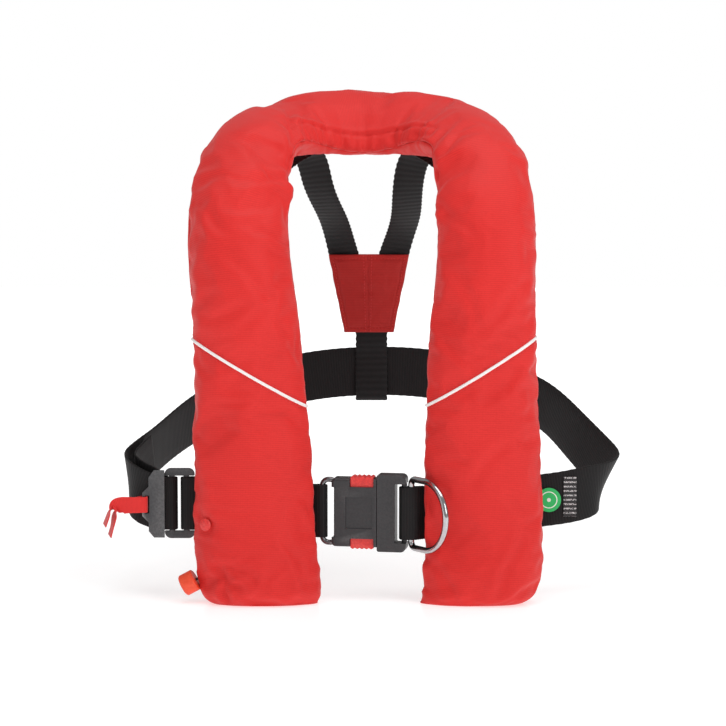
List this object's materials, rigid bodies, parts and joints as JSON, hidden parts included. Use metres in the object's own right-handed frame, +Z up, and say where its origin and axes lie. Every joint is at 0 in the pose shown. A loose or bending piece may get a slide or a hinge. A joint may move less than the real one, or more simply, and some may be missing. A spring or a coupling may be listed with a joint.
{
  "type": "inflatable life jacket",
  "caption": "Horseshoe-shaped inflatable life jacket with folded lobes, shoulder harness, waist belt, release buckle, tether ring, strap adjuster and manual pull knob.",
  "frame": {"origin": "on the floor under the middle of the standing jacket", "axes": "+X towards the side with the tether ring, -Y the chest side with the buckle, +Z up towards the collar"},
  "size_m": [0.4831, 0.3229, 0.4759],
  "materials": {
    "cover_red": "coated woven nylon, slightly shiny",
    "piping_white": "woven",
    "hook_and_loop": "hook and loop tape",
    "binding_dark": "woven tape",
    "webbing_black": "ribbed webbing",
    "patch_red": "woven",
    "buckle_grey": "dark anodised, satin",
    "adjuster_steel": "dark plated, satin",
    "ring_steel": "polished",
    "button_red": "satin",
    "knob_orange": "satin",
    "cord_black": "braided",
    "bladder_yellow": "coated",
    "inflator_plastic": "satin",
    "cartridge_green": "satin",
    "cylinder_steel": "zinc plated",
    "spring_steel": "bright",
    "tube_rubber": "matte",
    "valve_plastic": "satin"
  },
  "bodies": {
    "jacket": {"adjuster_frame": "adjuster_steel", "adjuster_strap": "webbing_black", "approval_seal": "cartridge_green", "back_strap_loop": "webbing_black", "belt_keeper_left": "binding_dark", "belt_keeper_right": "binding_dark", "belt_label": "piping_white", "bladder": "bladder_yellow", "buckle_tongue": "buckle_grey", "closure_hook_strip": "hook_and_loop", "closure_loop_strip": "hook_and_loop", "cover_back": "cover_red", "cover_lower_left": "cover_red", "cover_lower_right": "cover_red", "cover_upper": "cover_red", "firing_spring": "spring_steel", "inflator_body": "inflator_plastic", "inner_edge_binding": "binding_dark", "lever_pin": "spring_steel", "lobe_end_left": "cover_red", "lobe_end_right": "cover_red", "manifold_stem": "inflator_plastic", "oral_tube": "tube_rubber", "oral_valve_seat": "valve_plastic", "oral_valve_spring": "spring_steel", "piping_left": "piping_white", "piping_right": "piping_white", "press_stud_cap": "cover_red", "press_stud_socket": "spring_steel", "shoulder_strap_left": "webbing_black", "shoulder_strap_right": "webbing_black", "tongue_loop": "webbing_black", "waist_belt": "webbing_black", "water_cartridge": "cartridge_green", "whistle": "valve_plastic", "yoke_patch_back": "patch_red", "yoke_patch_front": "patch_red"},
    "buckle_half": {"buckle_housing": "buckle_grey", "buckle_ring": "ring_steel", "buckle_strap": "webbing_black", "button_spring_top": "spring_steel", "button_spring_bottom": "spring_steel"},
    "top_button": {"release_button_top": "button_red"},
    "bottom_button": {"release_button_bottom": "button_red"},
    "tether_ring": {"d_ring": "ring_steel"},
    "lock_plate": {"adjuster_lock_plate": "adjuster_steel", "adjuster_pull_tab": "patch_red"},
    "knob": {"pull_knob": "knob_orange", "pull_cord": "cord_black"},
    "lever": {"manual_lever": "inflator_plastic"},
    "striker": {"firing_pin": "spring_steel"},
    "cylinder": {"gas_cylinder": "cylinder_steel"},
    "sensor_cap": {"cartridge_cap": "inflator_plastic"},
    "tube_cap": {"oral_tube_cap": "tube_rubber"},
    "valve": {"oral_valve_poppet": "valve_plastic"}
  },
  "joints": [
    {"name": "buckle_release", "type": "slide", "parent": "jacket", "child": "buckle_half", "axis": [-0.9848, 0.1736, 0], "range_m": [0, 0.02]},
    {"name": "top_button_press", "type": "slide", "parent": "buckle_half", "child": "top_button", "axis": [0, 0, -1], "range_m": [0, 0.003], "stiffness_N_per_m": 300, "deforming": ["button_spring_top"]},
    {"name": "bottom_button_press", "type": "slide", "parent": "buckle_half", "child": "bottom_button", "axis": [0, 0, 1], "range_m": [0, 0.003], "stiffness_N_per_m": 300, "deforming": ["button_spring_bottom"]},
    {"name": "d_ring_swing", "type": "hinge", "parent": "jacket", "child": "tether_ring", "pos_m": [0.04539, -0.11495, 0.084], "axis": [0, 0, -1], "range_deg": [0, 33]},
    {"name": "adjuster_tilt", "type": "hinge", "parent": "jacket", "child": "lock_plate", "pos_m": [-0.1871, -0.102, 0.0905], "axis": [0, 0, 1], "range_deg": [0, 35]},
    {"name": "knob_pull", "type": "slide", "parent": "jacket", "child": "knob", "axis": [-0.8764, 0.0751, -0.4757], "range_m": [0, 0.03], "deforming": ["pull_cord"]},
    {"name": "lever_swing", "type": "hinge", "parent": "jacket", "child": "lever", "pos_m": [-0.114, -0.125, 0.062], "axis": [0, 1, 0], "range_deg": [0, 50]},
    {"name": "striker_slide", "type": "slide", "parent": "jacket", "child": "striker", "axis": [0, 0, 1], "range_m": [0, 0.004], "deforming": ["firing_spring"]},
    {"name": "cylinder_unscrew", "type": "hinge", "parent": "jacket", "child": "cylinder", "pos_m": [-0.098, -0.125, 0.07], "axis": [0, 0, 1], "continuous": true},
    {"name": "sensor_cap_unscrew", "type": "hinge", "parent": "jacket", "child": "sensor_cap", "pos_m": [-0.074, -0.125, 0.034], "axis": [1, 0, 0], "continuous": true},
    {"name": "tube_cap_pull", "type": "slide", "parent": "jacket", "child": "tube_cap", "axis": [0, 0, 1], "range_m": [0, 0.022]},
    {"name": "valve_press", "type": "slide", "parent": "jacket", "child": "valve", "axis": [0, 0, -1], "range_m": [0, 0.003], "stiffness_N_per_m": 200, "deforming": ["oral_valve_spring"]}
  ],
  "couplings": [
    {"joint": "lever_swing", "follows": "knob_pull", "rad_per_m": 29.089},
    {"joint": "striker_slide", "follows": "knob_pull", "ratio": 0.13333}
  ]
}
